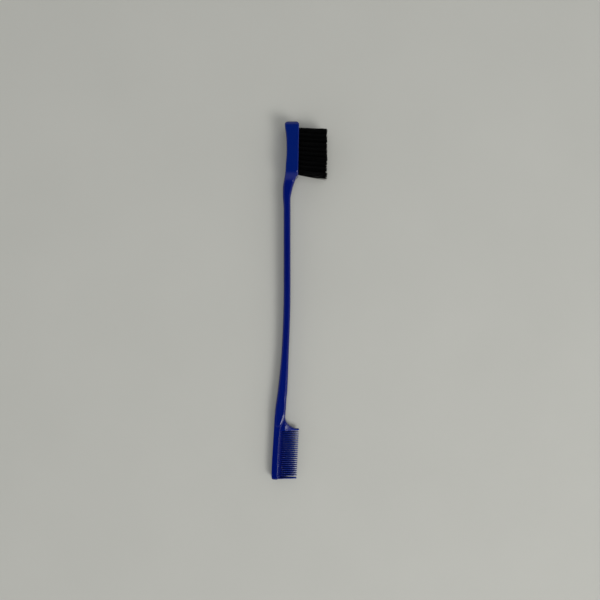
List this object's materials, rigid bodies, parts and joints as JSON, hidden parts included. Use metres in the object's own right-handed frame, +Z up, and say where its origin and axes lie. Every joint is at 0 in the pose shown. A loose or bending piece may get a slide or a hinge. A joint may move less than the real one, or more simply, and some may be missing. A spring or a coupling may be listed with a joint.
{
  "type": "two-ended hair edge brush",
  "caption": "Slim moulded plastic hair brush with a head of nylon tufts at one end and a fine-toothed comb at the other, lying on its side.",
  "frame": {"origin": "centre of the bounding box's underside, with the brush lying on its side", "axes": "+Y along the handle from the comb to the tufted head, +X the way the teeth and bristles point, +Z up from the surface it lies on"},
  "size_m": [0.0266, 0.17, 0.011],
  "materials": {
    "handle_plastic": "glossy moulded royal blue plastic",
    "bristle_nylon": "black nylon filament",
    "anchor_metal": "plain nickel silver wire"
  },
  "bodies": {
    "root": {"comb_handle": "handle_plastic", "bristle_tuft_01": "bristle_nylon", "bristle_tuft_02": "bristle_nylon", "bristle_tuft_03": "bristle_nylon", "bristle_tuft_04": "bristle_nylon", "bristle_tuft_05": "bristle_nylon", "bristle_tuft_06": "bristle_nylon", "bristle_tuft_07": "bristle_nylon", "bristle_tuft_08": "bristle_nylon", "bristle_tuft_09": "bristle_nylon", "bristle_tuft_10": "bristle_nylon", "bristle_tuft_11": "bristle_nylon", "bristle_tuft_12": "bristle_nylon", "bristle_tuft_13": "bristle_nylon", "bristle_tuft_14": "bristle_nylon", "bristle_tuft_15": "bristle_nylon", "bristle_tuft_16": "bristle_nylon", "bristle_tuft_17": "bristle_nylon", "bristle_tuft_18": "bristle_nylon", "bristle_tuft_19": "bristle_nylon", "bristle_tuft_20": "bristle_nylon", "bristle_tuft_21": "bristle_nylon", "bristle_tuft_22": "bristle_nylon", "bristle_tuft_23": "bristle_nylon", "bristle_tuft_24": "bristle_nylon", "bristle_tuft_25": "bristle_nylon", "bristle_tuft_26": "bristle_nylon", "bristle_tuft_27": "bristle_nylon", "bristle_tuft_28": "bristle_nylon", "bristle_tuft_29": "bristle_nylon", "tuft_anchor_01": "anchor_metal", "tuft_anchor_02": "anchor_metal", "tuft_anchor_03": "anchor_metal", "tuft_anchor_04": "anchor_metal", "tuft_anchor_05": "anchor_metal", "tuft_anchor_06": "anchor_metal", "tuft_anchor_07": "anchor_metal", "tuft_anchor_08": "anchor_metal", "tuft_anchor_09": "anchor_metal", "tuft_anchor_10": "anchor_metal", "tuft_anchor_11": "anchor_metal", "tuft_anchor_12": "anchor_metal", "tuft_anchor_13": "anchor_metal", "tuft_anchor_14": "anchor_metal", "tuft_anchor_15": "anchor_metal", "tuft_anchor_16": "anchor_metal", "tuft_anchor_17": "anchor_metal", "tuft_anchor_18": "anchor_metal", "tuft_anchor_19": "anchor_metal", "tuft_anchor_20": "anchor_metal", "tuft_anchor_21": "anchor_metal", "tuft_anchor_22": "anchor_metal", "tuft_anchor_23": "anchor_metal", "tuft_anchor_24": "anchor_metal", "tuft_anchor_25": "anchor_metal", "tuft_anchor_26": "anchor_metal", "tuft_anchor_27": "anchor_metal", "tuft_anchor_28": "anchor_metal", "tuft_anchor_29": "anchor_metal"}
  },
  "joints": []
}
